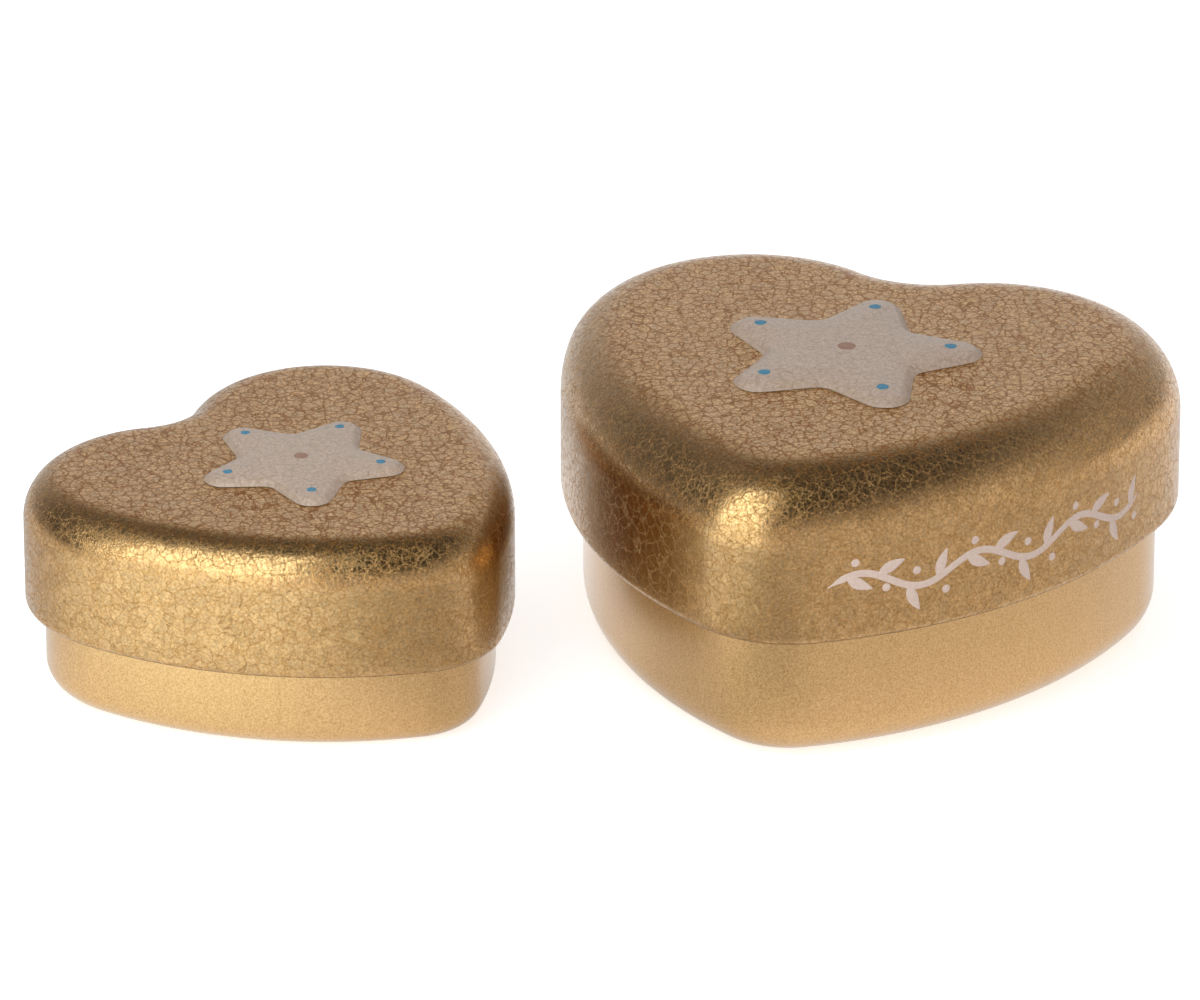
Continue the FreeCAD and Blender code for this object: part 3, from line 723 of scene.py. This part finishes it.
def white_floor():
    """White studio floor: matt paint that is plain white to the camera and keeps the tins' shadow.

    In the tins it shows a glow with painted light and shade, laid as it would lie under the panel:
    a painted bright cool pool near the panel, dimmer farther off, painted shade in front of the tins
    and in the gap between them, and painted light close round them and behind them on the right. It
    fades each time it is mirrored again.
    """
    # The painted glow's level away from the panel, and its painted pool of light by the panel.
    dim, bright = (0.63, 0.63, 0.63, 1.0), (1.38, 1.58, 1.62, 1.0)
    once_tint, twice_tint = (1.0, 1.0, 1.0, 1.0), (0.82, 1.04, 1.15, 1.0)
    camera_glow, mirrored_share = 0.62, 0.8
    material, tree = new_material("floor_white")
    path = add(tree, "ShaderNodeLightPath")
    mirrorings = path.outputs["Glossy Depth"]
    place = add(tree, "ShaderNodeTexCoord").outputs["Object"]
    axes = add(tree, "ShaderNodeSeparateXYZ", {"Vector": place})

    def patch(middle, inner, outer, level):
        """A round patch on the floor: its level within an inner radius, fading out at an outer one."""
        away = add(tree, "ShaderNodeVectorMath", {0: place, 1: middle}, operation="DISTANCE")
        return add(tree, "ShaderNodeMapRange", {
            "Value": away, "From Min": inner, "From Max": outer, "To Min": level, "To Max": 0.0,
        }, interpolation_type="SMOOTHSTEP")

    # Painted light and shade: a pool of light by the panel, and shade in front of the tins and between
    # them.
    pool_share = patch((-0.083, -0.088, 0.0), 0.035, 0.088, 1.0)
    painted_front_shade = patch((0.0, -0.064, 0.0), 0.01, 0.042, -0.3)
    painted_gap_shade = patch((-0.002, -0.026, 0.0), 0.006, 0.024, -0.3)
    pool = add(tree, "ShaderNodeMix", {
        "Factor": pool_share, "A": dim, "B": bright}, data_type="RGBA")
    # Painted light close round the tins, and behind them on the right.
    oval = add(tree, "ShaderNodeVectorMath", {
        0: place, 1: (0.75, 1.2, 0.0)}, operation="MULTIPLY")
    from_tins = add(tree, "ShaderNodeVectorMath", {0: oval}, operation="LENGTH")
    painted_light_beside = add(tree, "ShaderNodeMapRange", {
        "Value": from_tins, "From Min": 0.04, "From Max": 0.065, "To Min": 0.25, "To Max": 0.0,
    }, interpolation_type="SMOOTHSTEP")
    painted_light_behind = add(tree, "ShaderNodeMapRange", {
        "Value": axes.outputs["Y"], "From Min": 0.0, "From Max": 0.035, "To Min": 0.0, "To Max": 0.35})
    rightwards = add(tree, "ShaderNodeMapRange", {
        "Value": axes.outputs["X"], "From Min": -0.035, "From Max": -0.01})
    painted_shades = add(tree, "ShaderNodeMath", {0: painted_gap_shade, 1: painted_front_shade}, operation="ADD")
    painted_light_round_tins = add(tree, "ShaderNodeMath", {0: painted_light_beside, 1: painted_shades}, operation="ADD")
    painted_light_near_tins = add(tree, "ShaderNodeMath", {
        0: painted_light_behind, 1: rightwards, 2: painted_light_round_tins}, operation="MULTIPLY_ADD")
    level = add(tree, "ShaderNodeVectorMath", {0: pool, 1: painted_light_near_tins}, operation="ADD")
    fading = add(tree, "ShaderNodeMath", {0: 1.0, 1: mirrorings}, operation="DIVIDE")
    twice = add(tree, "ShaderNodeMapRange", {"Value": mirrorings, "From Min": 1.0, "From Max": 2.0})
    tint = add(tree, "ShaderNodeMix", {
        "Factor": twice, "A": once_tint, "B": twice_tint}, data_type="RGBA")
    tinted = add(tree, "ShaderNodeVectorMath", {0: level, 1: tint}, operation="MULTIPLY")
    # The painted glow that glossy rays see in place of the floor's own light and shade.
    painted_floor_light = add(tree, "ShaderNodeEmission", {"Color": tinted, "Strength": fading})
    share = add(tree, "ShaderNodeMath", {
        0: path.outputs["Is Glossy Ray"], 1: mirrored_share}, operation="MULTIPLY")
    paint = add(tree, "ShaderNodeBsdfDiffuse", {"Color": linear("#F4F4F4")})
    mirrored = add(tree, "ShaderNodeMixShader", {0: share, 1: paint, 2: painted_floor_light})
    lift = add(tree, "ShaderNodeMath", {
        0: path.outputs["Is Camera Ray"], 1: camera_glow}, operation="MULTIPLY")
    white = add(tree, "ShaderNodeEmission", {"Color": linear("#FFFFFF"), "Strength": lift})
    surface = add(tree, "ShaderNodeAddShader", {0: mirrored, 1: white})
    add(tree, "ShaderNodeOutputMaterial", {"Surface": surface})
    return material


floor_mesh = bpy.data.meshes.new("floor")
corners = np.array([(-1, -1, 0), (1, -1, 0), (1, 1, 0), (-1, 1, 0)]) * FLOOR_HALF
floor_mesh.from_pydata((corners - [0, 0, FLOOR_DROP]).tolist(), [], [(0, 1, 2, 3)])
floor_mesh.materials.append(white_floor())
floor = bpy.data.objects.new("floor", floor_mesh)
bpy.context.scene.collection.objects.link(floor)

# The room: a pale ring above the floor that dims towards the ceiling. The ring stands higher behind
# the tins and on the right than on the left, and dark curtains hang at the sides, towards the back.
world = bpy.data.worlds.new("studio")
bpy.context.scene.world = world
world.use_nodes = True
tree = world.node_tree
tree.nodes.clear()
direction = add(tree, "ShaderNodeTexCoord").outputs["Generated"]
right, back, up = add(tree, "ShaderNodeSeparateXYZ", {"Vector": direction}).outputs
behind = add(tree, "ShaderNodeMath", {0: back, 1: 0.0}, operation="MAXIMUM")
lowered = add(tree, "ShaderNodeMath", {0: behind, 1: -0.5, 2: up}, operation="MULTIPLY_ADD")
left_lean = add(tree, "ShaderNodeMapRange", {
    "Value": right, "From Min": -0.6, "From Max": -0.1, "To Min": 0.36, "To Max": 0.0})
right_lean = add(tree, "ShaderNodeMapRange", {
    "Value": right, "From Min": 0.45, "From Max": 0.85, "To Min": 0.0, "To Max": -0.3})
leaning = add(tree, "ShaderNodeMath", {0: left_lean, 1: right_lean}, operation="ADD")
height = add(tree, "ShaderNodeMath", {0: lowered, 1: leaning}, operation="ADD")
ceiling = add(tree, "ShaderNodeMapRange", {
    "Value": right, "From Min": -0.5, "From Max": 0.3, "To Min": 0.16, "To Max": 0.06})
ring = add(tree, "ShaderNodeMapRange", {
    "Value": height, "From Min": 0.0, "From Max": 0.7, "To Min": 0.6, "To Max": ceiling,
}, interpolation_type="SMOOTHSTEP")
sideways = add(tree, "ShaderNodeMath", {0: right}, operation="ABSOLUTE")
set_back = add(tree, "ShaderNodeMath", {0: back, 1: 0.58, 2: sideways}, operation="MULTIPLY_ADD")
curtains = add(tree, "ShaderNodeMapRange", {
    "Value": set_back, "From Min": 0.75, "From Max": 1.13, "To Min": 1.0, "To Max": 0.42})
room = add(tree, "ShaderNodeMath", {0: ring, 1: curtains}, operation="MULTIPLY")
light = add(tree, "ShaderNodeBackground", {"Color": linear("#FFFFFF"), "Strength": room})
add(tree, "ShaderNodeOutputWorld", {"Surface": light})


def area_lamp(name, place, aim, width, tall, radiance, colour="#FFFFFF"):
    """A rectangular soft light of a given brightness, at a place and turned to an aim point."""
    data = bpy.data.lights.new(name, "AREA")
    data.shape = "RECTANGLE"
    data.size, data.size_y = width, tall
    data.energy = radiance * math.pi * width * tall
    data.color = linear(colour)[:3]
    lamp = bpy.data.objects.new(name, data)
    lamp.location = place
    x, y, z = np.array(aim) - np.array(place)
    lamp.rotation_euler = (math.atan2(np.hypot(x, y), -z), 0, math.atan2(-x, y))
    bpy.context.scene.collection.objects.link(lamp)
    return lamp


# The panel at the front left, and a dimmer foot under it that joins its mirror image to the floor's.
# The panel is dimmer when it is mirrored again, from one tin in the other.
PANEL_WHITE = "#F3FFFF"
PANEL_WIDTH = 0.18
MIRRORED_AGAIN = 0.2
window, window_foot = (
    area_lamp(
        name, (-0.13, -0.1214, middle_z), (-0.1016, -0.0255, middle_z),
        PANEL_WIDTH, tall, radiance, PANEL_WHITE)
    for name, middle_z, tall, radiance in (
        ("window", 0.21, 0.31, 2.0), ("window_foot", 0.03, 0.05, 1.0)))
window.visible_camera = False
window_foot.visible_camera = False
window.data.use_nodes = True
tree = window.data.node_tree
tree.nodes.clear()
mirrorings = add(tree, "ShaderNodeLightPath").outputs["Glossy Depth"]
dimming = add(tree, "ShaderNodeMapRange", {
    "Value": mirrorings, "From Min": 1.0, "From Max": 2.0, "To Min": 1.0, "To Max": MIRRORED_AGAIN})
panel = add(tree, "ShaderNodeEmission", {"Color": linear("#FFFFFF"), "Strength": dimming})
add(tree, "ShaderNodeOutputLight", {"Surface": panel})

# Two wide lamps, from above and from the front, that light the paint but aren't mirrored.
fill = area_lamp("fill", (0, 0, 1.2), (0, 0, 0), 1.2, 1.2, 1.2)
fill.visible_glossy = False
front = area_lamp("front", (0.1, -0.5, 0.35), (0, 0, 0.02), 0.4, 0.4, 1.5)
front.visible_glossy = False

# A long lens from a little over a metre away, looking down on the tins.
CAMERA_DISTANCE = 1.104
CAMERA_ELEVATION = math.radians(24.7)
AIM_X, AIM_Y = -0.0005, 0.03415
camera_data = bpy.data.cameras.new("camera")
camera_data.lens = 305
camera_data.sensor_width = 36
camera_data.clip_end = 20
camera = bpy.data.objects.new("camera", camera_data)
bpy.context.scene.collection.objects.link(camera)
camera.location = (
    AIM_X, AIM_Y - CAMERA_DISTANCE * math.cos(CAMERA_ELEVATION),
    CAMERA_DISTANCE * math.sin(CAMERA_ELEVATION))
camera.rotation_euler = (math.pi / 2 - CAMERA_ELEVATION, 0, 0)
bpy.context.scene.camera = camera

bpy.context.scene.view_settings.view_transform = "Standard"
